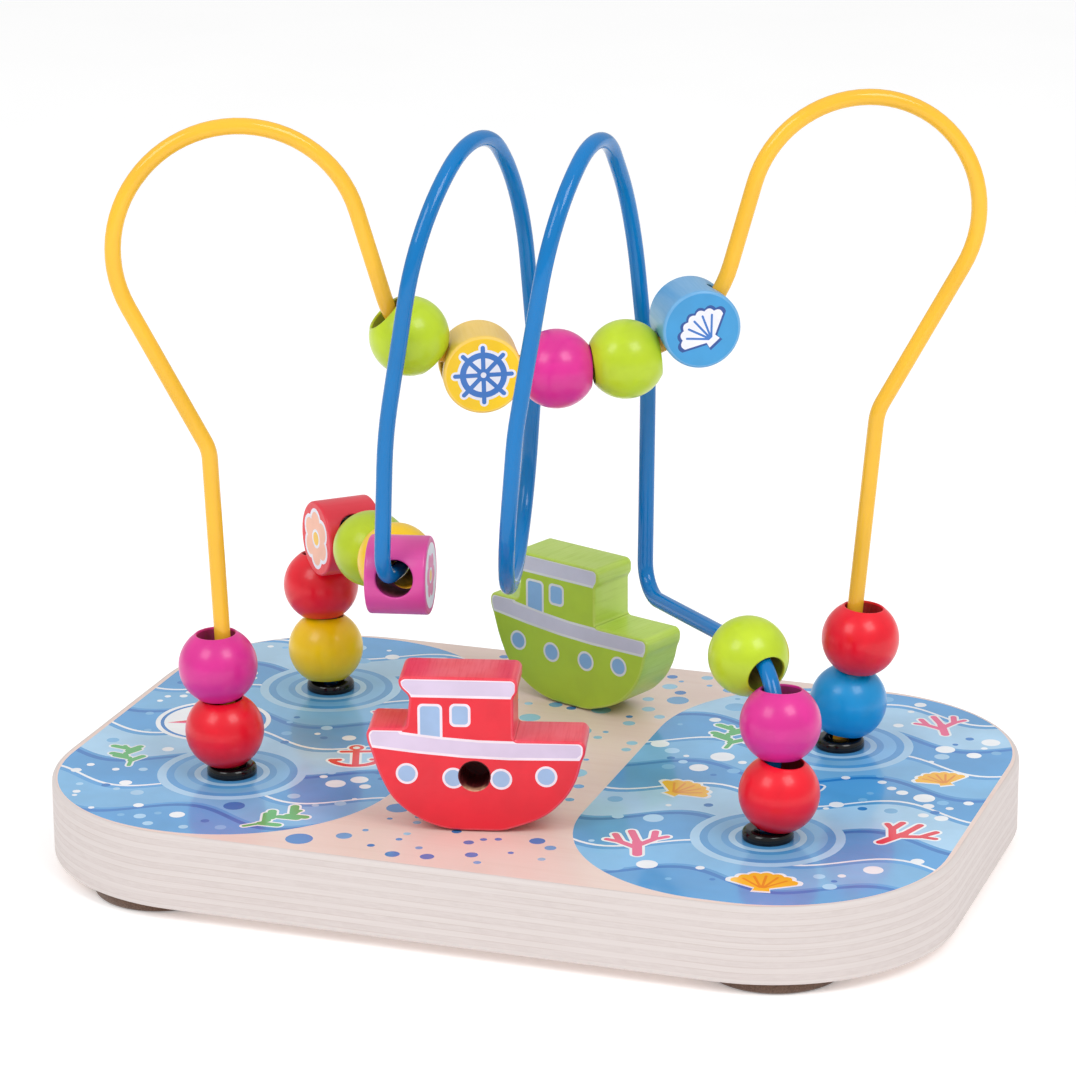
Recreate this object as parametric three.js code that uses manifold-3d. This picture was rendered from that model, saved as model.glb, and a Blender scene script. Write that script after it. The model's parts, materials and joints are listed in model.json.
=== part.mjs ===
// Wooden bead maze on a rounded plywood board: two bent steel wires carry round
// and disc-shaped beads, and two small boats swivel on the board between them.
// Units mm, +Z up, +X along the board, +Y to the back, z = 0 under the feet.
import * as THREE from 'three';
import { mergeVertices } from 'three/addons/utils/BufferGeometryUtils.js';
import Module from 'manifold-3d';

const wasm = await Module();
wasm.setup();

// ---- driving dimensions ----
const FOOT_HEIGHT = 3;
const FOOT_RADIUS = 19;
const FOOT_X = 88;
const FOOT_Y = 64;

const BOARD_LENGTH = 260;
const BOARD_WIDTH = 173;
const BOARD_CORNER = 53;
const BOARD_THICKNESS = 22;
const BOARD_EDGE = 1.2;
const BOARD_TOP = FOOT_HEIGHT + BOARD_THICKNESS;

const POST_X = 78.2;
const POST_Y = 37.2;
const WIRE_RADIUS = 2.25;
const WIRE_SIDES = 10;
const WIRE_FIT = 0.3;
const WIRE_END_Z = 8;

const GROMMET_RADIUS = 7;
const GROMMET_BORE = 2.85;
const GROMMET_HEIGHT = 3;

const BEAD_RADIUS = 11;
const BEAD_BORE = 5.4;
const BEAD_HALF = 9.5;
const BEAD_SEGMENTS = 16;

const DISC_RADIUS = 11;
const DISC_THICKNESS = 17;
const DISC_BORE = 5.2;
const DISC_EDGE = 1.1;

const BOAT_THICKNESS = 16;
const BOAT_EDGE = 0.6;
const BOAT_LIFT = 0.35;
const BOAT_HOLE_RADIUS = 4.1;
const BOAT_HOLE_HEIGHT = 15.8;
const BOAT_HOLE_DEPTH = 12;
const RED_BOAT = { at: [0, -50.5], yaw: 14.4 };
const GREEN_BOAT = { at: [-3.8, 51.7], yaw: -20.5 };

const SCREW_RADIUS = 2;
const SCREW_FIT = 0.35;
const SCREW_HEAD_RADIUS = 4.2;
const SCREW_HEAD_HEIGHT = 2.8;
const SCREW_BITE = 9.5;
const SINK_RADIUS = 5;
const SINK_DEPTH = 4;

// bends of the yellow wire in its upright plane through two opposite posts:
// distance along the diagonal, height, bend radius
const DIAGONAL = Math.atan2(POST_Y, POST_X);
const YELLOW_BENDS = [
  [-85.95, WIRE_END_Z, 0], [-90.25, 119.6, 12],
  [-120.3, 179.0, 33.8], [-95.55, 212.5, 33.4], [-54.5, 205.6, 33.4],
  [-37.3, 146.2, 24], [4.8, 139.4, 110], [47.9, 146.3, 34],
  [65.7, 209.35, 31.8], [105.7, 215.6, 31.8], [128.75, 182.3, 32.2],
  [95.5, 123.8, 14], [85.05, WIRE_END_Z, 0],
];

// bends of the blue wire: x, y, z, bend radius
const BLUE_BENDS = [
  [-POST_X, POST_Y, WIRE_END_Z, 0], [-POST_X, POST_Y, 77.4, 15],
  [-33.8, -7.6, 83.4, 40], [-32.8, -35.4, 85.6, 8],
  [-32.4, -32, 126.5, 100], [-22.4, -32, 184.8, 43], [-16, 0, 209.2, 24.7],
  [-15.4, 32, 183.5, 44.7], [-11.3, 32, 133.3, 100],
  [-15.3, 32, 77.2, 30.5], [0.6, -32, 79.1, 30.5],
  [4.9, -32, 129.6, 100], [15.9, -32, 190.5, 36.5], [19, 0, 210.9, 22],
  [17.2, 32, 178.9, 44.7], [22.1, 32, 131.2, 100],
  [21.3, 32, 66.6, 9], [80.92, -36.28, 74.3, 17], [77.15, -37.55, WIRE_END_Z, 0],
];

const COLOURS = {
  red: 0xd9303a, magenta: 0xd63a94, green: 0xa5cc2e, yellow: 0xf2bd14, blue: 0x2f95d3,
};

// round beads: centre and direction of the bore
const ROUND_BEADS = [
  ['bead_lf_red', 'red', [-79.79, -37.8, 37.88], [-0.0348, -0.0165, 0.9993]],
  ['bead_lf_magenta', 'magenta', [-81.03, -38.31, 57.06], [-0.0348, -0.0165, 0.9993]],
  ['bead_rb_blue', 'blue', [79.94, 39.12, 38.07], [0.1233, 0.1362, 0.983]],
  ['bead_rb_red', 'red', [83.34, 38.42, 57.59], [0.0816, 0.0306, 0.9962]],
  ['bead_rf_red', 'red', [81.05, -36.55, 37.94], [0.119, -0.0061, 0.9929]],
  ['bead_rf_magenta', 'magenta', [80.58, -34.51, 57.12], [-0.0181, 0.0983, 0.995]],
  ['bead_rf_green', 'green', [68.12, -22.79, 70.87], [0.7169, -0.6385, -0.2797]],
  ['bead_lb_yellow', 'yellow', [-78.86, 35.64, 38.31], [-0.05, 0.124, 0.991]],
  ['bead_lb_red', 'red', [-80.19, 36.23, 57.57], [-0.0388, 0.1175, 0.9923]],
  ['bead_level_green', 'green', [-55.21, 14.0, 77.79], [0.7008, -0.7071, 0.0947]],
  ['bead_level_yellow', 'yellow', [-42.08, -0.35, 79.75], [0.6072, -0.7887, 0.0956]],
  ['bead_dip_green_left', 'green', [-30.95, -16.49, 150.47], [0.6294, 0.312, -0.7117]],
  ['bead_dip_magenta', 'magenta', [5.08, 2.18, 139.4], [0.902, 0.4316, 0.0069]],
  ['bead_dip_green_right', 'green', [22.39, 10.52, 141.45], [0.8969, 0.4278, 0.1123]],
];

// disc beads: centre, direction of the bore, direction of the flat faces
const DISC_BEADS = [
  ['disc_level_red', 'red', [-69.96, 28.88, 75.9], [0.6576, -0.6636, 0.3567], [-0.713, -0.7011, 0.0103]],
  ['disc_level_magenta', 'magenta', [-32.91, -20.88, 83.13], [0.1933, -0.964, 0.1826], [0.9802, 0.198, 0.008]],
  ['disc_dip_yellow', 'yellow', [-13.99, -6.65, 140.75], [0.887, 0.4359, -0.1526], [0.4367, -0.8991, -0.03]],
  ['disc_dip_blue', 'blue', [39.43, 19.6, 151.19], [0.6377, 0.3702, 0.6755], [0.5162, -0.8563, -0.018]],
];

// side view of a boat: curved hull, gunwale, cabin with an overhanging roof
const BOAT_OUTLINE = [
  [-6, 0], [7.5, 0], [11.5, 1.3], [16, 2.9], [20.3, 5.3], [24.9, 10], [27.7, 15.2], [29, 20.6],
  [29.9, 22.4], [30, 25], [28.8, 26.3], [11.4, 26.2], [10.6, 26.9],
  [10.6, 38.2], [11.7, 39.6], [11.8, 42.6], [10.6, 43.8], [-19, 43.8], [-20.4, 42.7], [-20, 40.6], [-17.3, 38],
  [-18.3, 29.8], [-19.2, 29], [-28.1, 29], [-29.2, 27.4], [-29, 25], [-28.1, 22.8],
  [-26, 15.8], [-22.6, 9], [-18.6, 5.2], [-14.3, 2.5], [-10.2, 0.9],
];

const group = new THREE.Group();

function stripped(geometry) {
  let g = geometry.index ? geometry.toNonIndexed() : geometry.clone();
  g.deleteAttribute('normal');
  g.deleteAttribute('uv');
  g = mergeVertices(g, 1e-4);
  const idx = g.index.array;
  const keep = [];
  for (let i = 0; i < idx.length; i += 3) {
    const [a, b, c] = [idx[i], idx[i + 1], idx[i + 2]];
    if (a !== b && b !== c && a !== c) keep.push(a, b, c);
  }
  g.setIndex(keep);
  return g;
}

function solid(geometry) {
  const g = stripped(geometry);
  return new wasm.Manifold(new wasm.Mesh({
    numProp: 3,
    vertProperties: new Float32Array(g.attributes.position.array),
    triVerts: new Uint32Array(g.index.array),
  }));
}

function geometryOf(manifold) {
  const m = manifold.getMesh();
  const n = m.numVert;
  const pos = new Float32Array(n * 3);
  for (let i = 0; i < n; i++) {
    for (let k = 0; k < 3; k++) pos[i * 3 + k] = m.vertProperties[i * m.numProp + k];
  }
  const g = new THREE.BufferGeometry();
  g.setAttribute('position', new THREE.BufferAttribute(pos, 3));
  g.setIndex(new THREE.BufferAttribute(new Uint32Array(m.triVerts), 1));
  return g;
}

function add(name, geometry, colour, roughness, metalness = 0) {
  const g = geometry.clone();
  g.computeVertexNormals();
  const mesh = new THREE.Mesh(g, new THREE.MeshStandardMaterial({ color: colour, roughness, metalness }));
  mesh.name = name;
  group.add(mesh);
  return mesh;
}

function circleShape(radius) {
  const s = new THREE.Shape();
  s.absarc(0, 0, radius, 0, Math.PI * 2, false);
  return s;
}

// flat round pad with rounded edges, standing on z = 0
function pad(radius, height, edge, segments) {
  const g = new THREE.ExtrudeGeometry(circleShape(radius), {
    depth: height - 2 * edge, bevelEnabled: true, bevelThickness: edge, bevelSize: edge,
    bevelOffset: -edge, bevelSegments: 1, curveSegments: segments / 2,
  });
  g.translate(0, 0, edge);
  return g;
}

// cylinder between two points
function rodBetween(from, to, radius, segments) {
  const a = new THREE.Vector3(...from);
  const b = new THREE.Vector3(...to);
  const d = b.clone().sub(a);
  const g = new THREE.CylinderGeometry(radius, radius, d.length(), segments);
  g.applyQuaternion(new THREE.Quaternion().setFromUnitVectors(new THREE.Vector3(0, 1, 0), d.clone().normalize()));
  const m = a.add(b).multiplyScalar(0.5);
  g.translate(m.x, m.y, m.z);
  return g;
}

// ring turned about z from a closed profile of [radius, height]
function turned(profile, segments) {
  const pts = profile.map(([r, z]) => new THREE.Vector2(r, z));
  pts.push(pts[0].clone());
  const g = new THREE.LatheGeometry(pts, segments);
  g.rotateX(Math.PI / 2);
  return g;
}

// centre line with rounded bends, sampled where it turns
function bentLine(bends) {
  const p = bends.map((b) => new THREE.Vector3(b[0], b[1], b[2]));
  const out = [p[0].clone()];
  for (let i = 1; i < p.length - 1; i++) {
    const a = p[i - 1].clone().sub(p[i]).normalize();
    const b = p[i + 1].clone().sub(p[i]).normalize();
    const turn = Math.PI - a.angleTo(b);
    const r = bends[i][3];
    const reach = r * Math.tan(turn / 2);
    const middle = a.clone().add(b).normalize().multiplyScalar(r / Math.cos(turn / 2)).add(p[i]);
    const v = p[i].clone().addScaledVector(a, reach).sub(middle).normalize();
    const w = a.clone().negate();
    const steps = Math.max(2, Math.ceil(turn / 0.25));
    for (let k = 0; k <= steps; k++) {
      const q = (turn * k) / steps;
      const point = middle.clone().addScaledVector(v, r * Math.cos(q)).addScaledVector(w, r * Math.sin(q));
      if (point.distanceTo(out[out.length - 1]) > 1) out.push(point);
    }
  }
  out.push(p[p.length - 1].clone());
  return out;
}

class RodLine extends THREE.Curve {
  constructor(points) {
    super();
    this.points = points;
  }

  getPoint(t, target = new THREE.Vector3()) {
    const n = this.points.length - 1;
    const f = Math.min(Math.max(t, 0), 1) * n;
    const i = Math.min(Math.floor(f + 1e-9), n - 1);
    return target.copy(this.points[i]).lerp(this.points[i + 1], f - i);
  }

  getPointAt(u, target) {
    return this.getPoint(u, target);
  }

  getTangentAt(u, target = new THREE.Vector3()) {
    const n = this.points.length - 1;
    const i = Math.round(u * n);
    const before = this.points[Math.max(i - 1, 0)];
    const here = this.points[i];
    const after = this.points[Math.min(i + 1, n)];
    const d = new THREE.Vector3();
    if (i > 0) d.add(here.clone().sub(before).normalize());
    if (i < n) d.add(after.clone().sub(here).normalize());
    return target.copy(d.normalize());
  }
}

function bentRod(bends, radius, sides) {
  const line = bentLine(bends);
  return new THREE.ExtrudeGeometry(circleShape(radius), {
    steps: line.length - 1, bevelEnabled: false, curveSegments: sides / 2, extrudePath: new RodLine(line),
  });
}

// place a shape whose own z is the given direction
function aim(geometry, direction, at) {
  const q = new THREE.Quaternion().setFromUnitVectors(
    new THREE.Vector3(0, 0, 1), new THREE.Vector3(...direction).normalize());
  geometry.applyQuaternion(q);
  geometry.translate(...at);
  return geometry;
}

// ---- board ----
const yellow3 = YELLOW_BENDS.map(([s, z, r]) => [s * Math.cos(DIAGONAL), s * Math.sin(DIAGONAL), z, r]);
const wireLines = [yellow3, BLUE_BENDS];

{
  const hx = BOARD_LENGTH / 2;
  const hy = BOARD_WIDTH / 2;
  const r = BOARD_CORNER;
  const s = new THREE.Shape();
  s.moveTo(-hx + r, -hy);
  s.lineTo(hx - r, -hy);
  s.absarc(hx - r, -hy + r, r, -Math.PI / 2, 0, false);
  s.lineTo(hx, hy - r);
  s.absarc(hx - r, hy - r, r, 0, Math.PI / 2, false);
  s.lineTo(-hx + r, hy);
  s.absarc(-hx + r, hy - r, r, Math.PI / 2, Math.PI, false);
  s.lineTo(-hx, -hy + r);
  s.absarc(-hx + r, -hy + r, r, Math.PI, Math.PI * 1.5, false);
  const slab = new THREE.ExtrudeGeometry(s, {
    depth: BOARD_THICKNESS - 2 * BOARD_EDGE, bevelEnabled: true, bevelThickness: BOARD_EDGE,
    bevelSize: BOARD_EDGE, bevelOffset: -BOARD_EDGE, bevelSegments: 2, curveSegments: 6,
  });
  slab.translate(0, 0, FOOT_HEIGHT + BOARD_EDGE);
  let board = solid(slab);
  for (const line of wireLines) {
    const ends = [[line[0], line[1]], [line[line.length - 1], line[line.length - 2]]];
    for (const [foot, next] of ends) {
      const d = new THREE.Vector3(next[0] - foot[0], next[1] - foot[1], next[2] - foot[2]).normalize();
      const low = new THREE.Vector3(foot[0], foot[1], foot[2]).addScaledVector(d, -WIRE_FIT);
      const high = low.clone().addScaledVector(d, BOARD_TOP - WIRE_END_Z + 4);
      board = board.subtract(solid(rodBetween(low.toArray(), high.toArray(), WIRE_RADIUS + WIRE_FIT, 16)));
    }
  }
  for (const boat of [RED_BOAT, GREEN_BOAT]) {
    const [x, y] = boat.at;
    board = board.subtract(solid(rodBetween([x, y, 0], [x, y, BOARD_TOP + 3], SCREW_RADIUS + SCREW_FIT, 16)));
    board = board.subtract(solid(rodBetween([x, y, 0], [x, y, FOOT_HEIGHT + SINK_DEPTH], SINK_RADIUS, 20)));
  }
  add('base_board', geometryOf(board), 0xe9d3b4, 0.55);
}

for (const [name, sx, sy] of [['foot_lf', -1, -1], ['foot_rf', 1, -1], ['foot_lb', -1, 1], ['foot_rb', 1, 1]]) {
  const g = pad(FOOT_RADIUS, FOOT_HEIGHT, 0.5, 24);
  g.translate(sx * FOOT_X, sy * FOOT_Y, 0);
  add(name, stripped(g), 0x6a4a36, 0.9);
}

// ---- wires and their grommets ----
add('wire_yellow', stripped(bentRod(yellow3, WIRE_RADIUS, WIRE_SIDES)), 0xf5b21a, 0.3);
add('wire_blue', stripped(bentRod(BLUE_BENDS, WIRE_RADIUS, WIRE_SIDES)), 0x0d66b8, 0.3);

for (const [name, sx, sy] of [['grommet_lf', -1, -1], ['grommet_rf', 1, -1], ['grommet_lb', -1, 1], ['grommet_rb', 1, 1]]) {
  const g = turned([
    [GROMMET_BORE, 0], [GROMMET_RADIUS, 0], [GROMMET_RADIUS, 1.5], [GROMMET_RADIUS - 0.5, 2.4],
    [GROMMET_RADIUS - 1.6, GROMMET_HEIGHT], [GROMMET_BORE, GROMMET_HEIGHT],
  ], 16);
  g.translate(sx * POST_X, sy * POST_Y, BOARD_TOP);
  add(name, stripped(g), 0x121214, 0.35);
}

// ---- beads ----
function roundBead() {
  const profile = [[BEAD_BORE, -BEAD_HALF + 0.45], [BEAD_BORE + 0.35, -BEAD_HALF]];
  const rim = Math.sqrt(BEAD_RADIUS ** 2 - BEAD_HALF ** 2);
  const start = Math.atan2(-BEAD_HALF + 0.12, rim + 0.2);
  const rings = 6;
  for (let k = 0; k <= rings; k++) {
    const a = start - (2 * start * k) / rings;
    profile.push([BEAD_RADIUS * Math.cos(a), BEAD_RADIUS * Math.sin(a)]);
  }
  profile.push([BEAD_BORE + 0.35, BEAD_HALF], [BEAD_BORE, BEAD_HALF - 0.45]);
  return turned(profile, BEAD_SEGMENTS);
}

for (const [name, colour, at, bore] of ROUND_BEADS) {
  add(name, stripped(aim(roundBead(), bore, at)), COLOURS[colour], 0.4);
}

for (const [name, colour, at, bore, face] of DISC_BEADS) {
  const z = new THREE.Vector3(...face).normalize();
  const x = new THREE.Vector3(...bore);
  x.addScaledVector(z, -x.dot(z)).normalize();
  const y = new THREE.Vector3().crossVectors(z, x);
  const body = pad(DISC_RADIUS, DISC_THICKNESS, DISC_EDGE, 24);
  body.translate(0, 0, -DISC_THICKNESS / 2);
  const bead = solid(body).subtract(solid(rodBetween([-15, 0, 0], [15, 0, 0], DISC_BORE, 16)));
  const g = geometryOf(bead);
  g.applyMatrix4(new THREE.Matrix4().makeBasis(x, y, z).setPosition(...at));
  add(name, g, COLOURS[colour], 0.4);
}

// ---- boats on their pivot screws ----
function boat(spec, name, colour, withHole) {
  const s = new THREE.Shape();
  BOAT_OUTLINE.forEach(([u, z], i) => (i ? s.lineTo(u, z) : s.moveTo(u, z)));
  const g = new THREE.ExtrudeGeometry(s, {
    depth: BOAT_THICKNESS - 2 * BOAT_EDGE, bevelEnabled: true, bevelThickness: BOAT_EDGE,
    bevelSize: BOAT_EDGE, bevelOffset: -BOAT_EDGE, bevelSegments: 1,
  });
  g.translate(0, 0, -BOAT_THICKNESS / 2 + BOAT_EDGE);
  g.rotateX(Math.PI / 2);
  let hull = solid(g);
  if (withHole) {
    const end = BOAT_HOLE_DEPTH - BOAT_THICKNESS / 2;
    hull = hull.subtract(solid(rodBetween([0, -20, BOAT_HOLE_HEIGHT], [0, end, BOAT_HOLE_HEIGHT], BOAT_HOLE_RADIUS, 20)));
  }
  hull = hull.subtract(solid(rodBetween([0, 0, -5], [0, 0, SCREW_BITE + 0.1], SCREW_RADIUS + 0.02, 16)));
  const out = geometryOf(hull);
  out.rotateZ(THREE.MathUtils.degToRad(spec.yaw));
  out.translate(spec.at[0], spec.at[1], BOARD_TOP + BOAT_LIFT);
  add(name, out, colour, 0.42);
}

function pivotScrew(spec, name) {
  const [x, y] = spec.at;
  const z0 = FOOT_HEIGHT + 0.6;
  let s = solid(rodBetween([0, 0, z0], [0, 0, z0 + SCREW_HEAD_HEIGHT], SCREW_HEAD_RADIUS, 20));
  s = s.add(solid(rodBetween([0, 0, z0 + SCREW_HEAD_HEIGHT - 0.5], [0, 0, BOARD_TOP + BOAT_LIFT + SCREW_BITE], SCREW_RADIUS, 16)));
  for (const size of [[4.6, 1.1, 2.4], [1.1, 4.6, 2.4]]) {
    const slot = new THREE.BoxGeometry(...size);
    slot.translate(0, 0, z0);
    s = s.subtract(solid(slot));
  }
  const g = geometryOf(s);
  g.rotateZ(THREE.MathUtils.degToRad(spec.yaw));
  g.translate(x, y, 0);
  add(name, g, 0xb9bcc0, 0.35, 0.9);
}

boat(RED_BOAT, 'boat_red', 0xd92f33, true);
pivotScrew(RED_BOAT, 'screw_red');
boat(GREEN_BOAT, 'boat_green', 0x9cc42c, false);
pivotScrew(GREEN_BOAT, 'screw_green');

export default group;
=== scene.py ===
import json
import math
import random

import bmesh
import bpy
from mathutils import Matrix, Quaternion, Vector
from mathutils.geometry import delaunay_2d_cdt


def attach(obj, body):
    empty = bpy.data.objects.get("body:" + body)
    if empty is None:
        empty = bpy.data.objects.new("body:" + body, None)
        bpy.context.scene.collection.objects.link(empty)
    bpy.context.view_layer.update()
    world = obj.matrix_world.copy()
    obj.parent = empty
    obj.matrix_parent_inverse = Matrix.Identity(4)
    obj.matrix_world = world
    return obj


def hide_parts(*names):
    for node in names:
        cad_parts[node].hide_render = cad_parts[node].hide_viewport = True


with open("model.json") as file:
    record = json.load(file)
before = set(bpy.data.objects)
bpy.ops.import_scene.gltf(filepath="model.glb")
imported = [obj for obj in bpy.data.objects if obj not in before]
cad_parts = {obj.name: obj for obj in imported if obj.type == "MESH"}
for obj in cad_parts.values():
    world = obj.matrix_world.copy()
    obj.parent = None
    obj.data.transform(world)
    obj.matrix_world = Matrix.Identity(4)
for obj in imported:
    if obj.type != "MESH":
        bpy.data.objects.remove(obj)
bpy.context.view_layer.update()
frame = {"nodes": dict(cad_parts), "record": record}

MM = 0.001
NODES = frame["nodes"]
BODY_OF = {n: b for b, ns in frame["record"]["behaviour"]["bodies"].items() for n in ns}

# ---------------------------------------------------------------- dimensions, mm
BOARD_TOP, BOARD_BOTTOM = 25.0, 3.0
BOARD_X, BOARD_Y, BOARD_R = 130.0, 86.5, 53.0
POST_X, POST_Y = 78.2, 37.2
WIRE_R = 2.25
RED_BOAT = (0.0, -50.5, 14.4)
GREEN_BOAT = (-3.8, 51.7, -20.5)
BOAT_LIFT = 0.35

YELLOW_BENDS = [
    (-85.95, 8, 0), (-90.25, 119.6, 12), (-120.3, 179.0, 33.8), (-95.55, 212.5, 33.4), (-54.5, 205.6, 33.4),
    (-37.3, 146.2, 24), (4.8, 139.4, 110), (47.9, 146.3, 34), (65.7, 209.35, 31.8), (105.7, 215.6, 31.8),
    (128.75, 182.3, 32.2), (95.5, 123.8, 14), (85.05, 8, 0),
]
BLUE_BENDS = [
    (-POST_X, POST_Y, 8, 0), (-POST_X, POST_Y, 77.4, 15), (-33.8, -7.6, 83.4, 40), (-32.8, -35.4, 85.6, 8),
    (-32.4, -32, 126.5, 100), (-22.4, -32, 184.8, 43), (-16, 0, 209.2, 24.7), (-15.4, 32, 183.5, 44.7),
    (-11.3, 32, 133.3, 100), (-15.3, 32, 77.2, 30.5), (0.6, -32, 79.1, 30.5), (4.9, -32, 129.6, 100),
    (15.9, -32, 190.5, 36.5), (19, 0, 210.9, 22), (17.2, 32, 178.9, 44.7), (22.1, 32, 131.2, 100),
    (21.3, 32, 66.6, 9), (80.92, -36.28, 74.3, 17), (77.15, -37.55, 8, 0),
]
ROUND_BEADS = [
    ("bead_lf_red", "red", (-79.79, -37.8, 37.88), (-0.0348, -0.0165, 0.9993)),
    ("bead_lf_magenta", "magenta", (-81.03, -38.31, 57.06), (-0.0348, -0.0165, 0.9993)),
    ("bead_rb_blue", "blue", (79.94, 39.12, 38.07), (0.1233, 0.1362, 0.983)),
    ("bead_rb_red", "red", (83.34, 38.42, 57.59), (0.0816, 0.0306, 0.9962)),
    ("bead_rf_red", "red", (81.05, -36.55, 37.94), (0.119, -0.0061, 0.9929)),
    ("bead_rf_magenta", "magenta", (80.58, -34.51, 57.12), (-0.0181, 0.0983, 0.995)),
    ("bead_rf_green", "green", (68.12, -22.79, 70.87), (0.7169, -0.6385, -0.2797)),
    ("bead_lb_yellow", "yellow", (-78.86, 35.64, 38.31), (-0.05, 0.124, 0.991)),
    ("bead_lb_red", "red", (-80.19, 36.23, 57.57), (-0.0388, 0.1175, 0.9923)),
    ("bead_level_green", "green", (-55.21, 14.0, 77.79), (0.7008, -0.7071, 0.0947)),
    ("bead_level_yellow", "yellow", (-42.08, -0.35, 79.75), (0.6072, -0.7887, 0.0956)),
    ("bead_dip_green_left", "green", (-30.95, -16.49, 150.47), (0.6294, 0.312, -0.7117)),
    ("bead_dip_magenta", "magenta", (5.08, 2.18, 139.4), (0.902, 0.4316, 0.0069)),
    ("bead_dip_green_right", "green", (22.39, 10.52, 141.45), (0.8969, 0.4278, 0.1123)),
]
DISC_BEADS = [
    ("disc_level_red", "red", (-69.96, 28.88, 75.9), (0.6576, -0.6636, 0.3567), (-0.713, -0.7011, 0.0103)),
    ("disc_level_magenta", "magenta", (-32.91, -20.88, 83.13), (0.1933, -0.964, 0.1826), (0.9802, 0.198, 0.008)),
    ("disc_dip_yellow", "yellow", (-13.99, -6.65, 140.75), (0.887, 0.4359, -0.1526), (0.4367, -0.8991, -0.03)),
    ("disc_dip_blue", "blue", (39.43, 19.6, 151.19), (0.6377, 0.3702, 0.6755), (0.5162, -0.8563, -0.018)),
]
BOAT_OUTLINE = [
    (-6, 0), (7.5, 0), (11.5, 1.3), (16, 2.9), (20.3, 5.3), (24.9, 10), (27.7, 15.2), (29, 20.6),
    (29.9, 22.4), (30, 25), (28.8, 26.3), (11.4, 26.2), (10.6, 26.9),
    (10.6, 38.2), (11.7, 39.6), (11.8, 42.6), (10.6, 43.8), (-19, 43.8), (-20.4, 42.7), (-20, 40.6), (-17.3, 38),
    (-18.3, 29.8), (-19.2, 29), (-28.1, 29), (-29.2, 27.4), (-29, 25), (-28.1, 22.8),
    (-26, 15.8), (-22.6, 9), (-18.6, 5.2), (-14.3, 2.5), (-10.2, 0.9),
]

PAINT = {
    "red": (238, 10, 38), "magenta": (222, 42, 146), "green": (190, 215, 36),
    "yellow": (255, 208, 0), "blue": (0, 148, 214),
}


# ---------------------------------------------------------------- shader helpers
def lin(rgb):
    out = []
    for c in rgb:
        c = c / 255
        out.append(c / 12.92 if c <= 0.04045 else ((c + 0.055) / 1.055) ** 2.4)
    return (*out, 1.0)


def shade(rgb, k):
    return tuple(max(0, min(255, c * k)) for c in rgb)


class Tree:
    """A material's node tree with short ways to add nodes. Coordinates are millimetres in the piece's own space."""

    def __init__(self, name, seed=0.0):
        self.mat = bpy.data.materials.new(name)
        self.mat.use_nodes = True
        self.nt = self.mat.node_tree
        self.nt.nodes.clear()
        out = self.nt.nodes.new("ShaderNodeOutputMaterial")
        self.bsdf = self.nt.nodes.new("ShaderNodeBsdfPrincipled")
        self.nt.links.new(self.bsdf.outputs[0], out.inputs[0])
        coord = self.nt.nodes.new("ShaderNodeTexCoord")
        self.pos = self.vec("MULTIPLY", coord.outputs["Object"], (1000, 1000, 1000))
        self.seeded = self.vec("ADD", self.pos, (seed * 13.7, seed * 7.3, seed * 19.1))

    def put(self, socket, value):
        if hasattr(value, "is_linked"):
            self.nt.links.new(value, socket)
        else:
            socket.default_value = value

    def vec(self, op, a, b):
        n = self.nt.nodes.new("ShaderNodeVectorMath")
        n.operation = op
        self.put(n.inputs[0], a)
        self.put(n.inputs[1], b)
        return n.outputs["Value"] if op == "LENGTH" else n.outputs[0]

    def math(self, op, a, b=0.0, clamp=False):
        n = self.nt.nodes.new("ShaderNodeMath")
        n.operation = op
        n.use_clamp = clamp
        self.put(n.inputs[0], a)
        self.put(n.inputs[1], b)
        return n.outputs[0]

    def xyz(self, v):
        n = self.nt.nodes.new("ShaderNodeSeparateXYZ")
        self.put(n.inputs[0], v)
        return n.outputs

    def noise(self, scale, stretch=(1, 1, 1), detail=3.0, rough=0.55, of=None):
        n = self.nt.nodes.new("ShaderNodeTexNoise")
        self.put(n.inputs["Vector"], self.vec("MULTIPLY", of or self.seeded, stretch))
        n.inputs["Scale"].default_value = scale
        n.inputs["Detail"].default_value = detail
        n.inputs["Roughness"].default_value = rough
        return n.outputs["Fac"]

    def remap(self, x, a, b, c=0.0, d=1.0, smooth=True):
        n = self.nt.nodes.new("ShaderNodeMapRange")
        n.interpolation_type = "SMOOTHSTEP" if smooth else "LINEAR"
        for i, v in enumerate((x, a, b, c, d)):
            self.put(n.inputs[i], v)
        return n.outputs[0]

    def mix(self, fac, a, b, kind="MIX"):
        n = self.nt.nodes.new("ShaderNodeMix")
        n.data_type = "RGBA"
        n.blend_type = kind
        self.put(n.inputs[0], fac)
        self.put(n.inputs[6], a)
        self.put(n.inputs[7], b)
        return n.outputs[2]

    def bump(self, height, distance_mm, strength=1.0, normal=None):
        n = self.nt.nodes.new("ShaderNodeBump")
        n.inputs["Strength"].default_value = strength
        n.inputs["Distance"].default_value = distance_mm * MM
        self.put(n.inputs["Height"], height)
        if normal is not None:
            self.put(n.inputs["Normal"], normal)
        return n.outputs[0]

    def finish(self, colour, roughness, normal=None, coat=0.0, coat_rough=0.1, spec=0.5, metallic=0.0):
        b = self.bsdf
        self.put(b.inputs["Base Color"], colour)
        self.put(b.inputs["Roughness"], roughness)
        b.inputs["Specular IOR Level"].default_value = spec
        b.inputs["Metallic"].default_value = metallic
        b.inputs["Coat Weight"].default_value = coat
        b.inputs["Coat Roughness"].default_value = coat_rough
        if normal is not None:
            self.put(b.inputs["Normal"], normal)
        return self.mat


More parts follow.
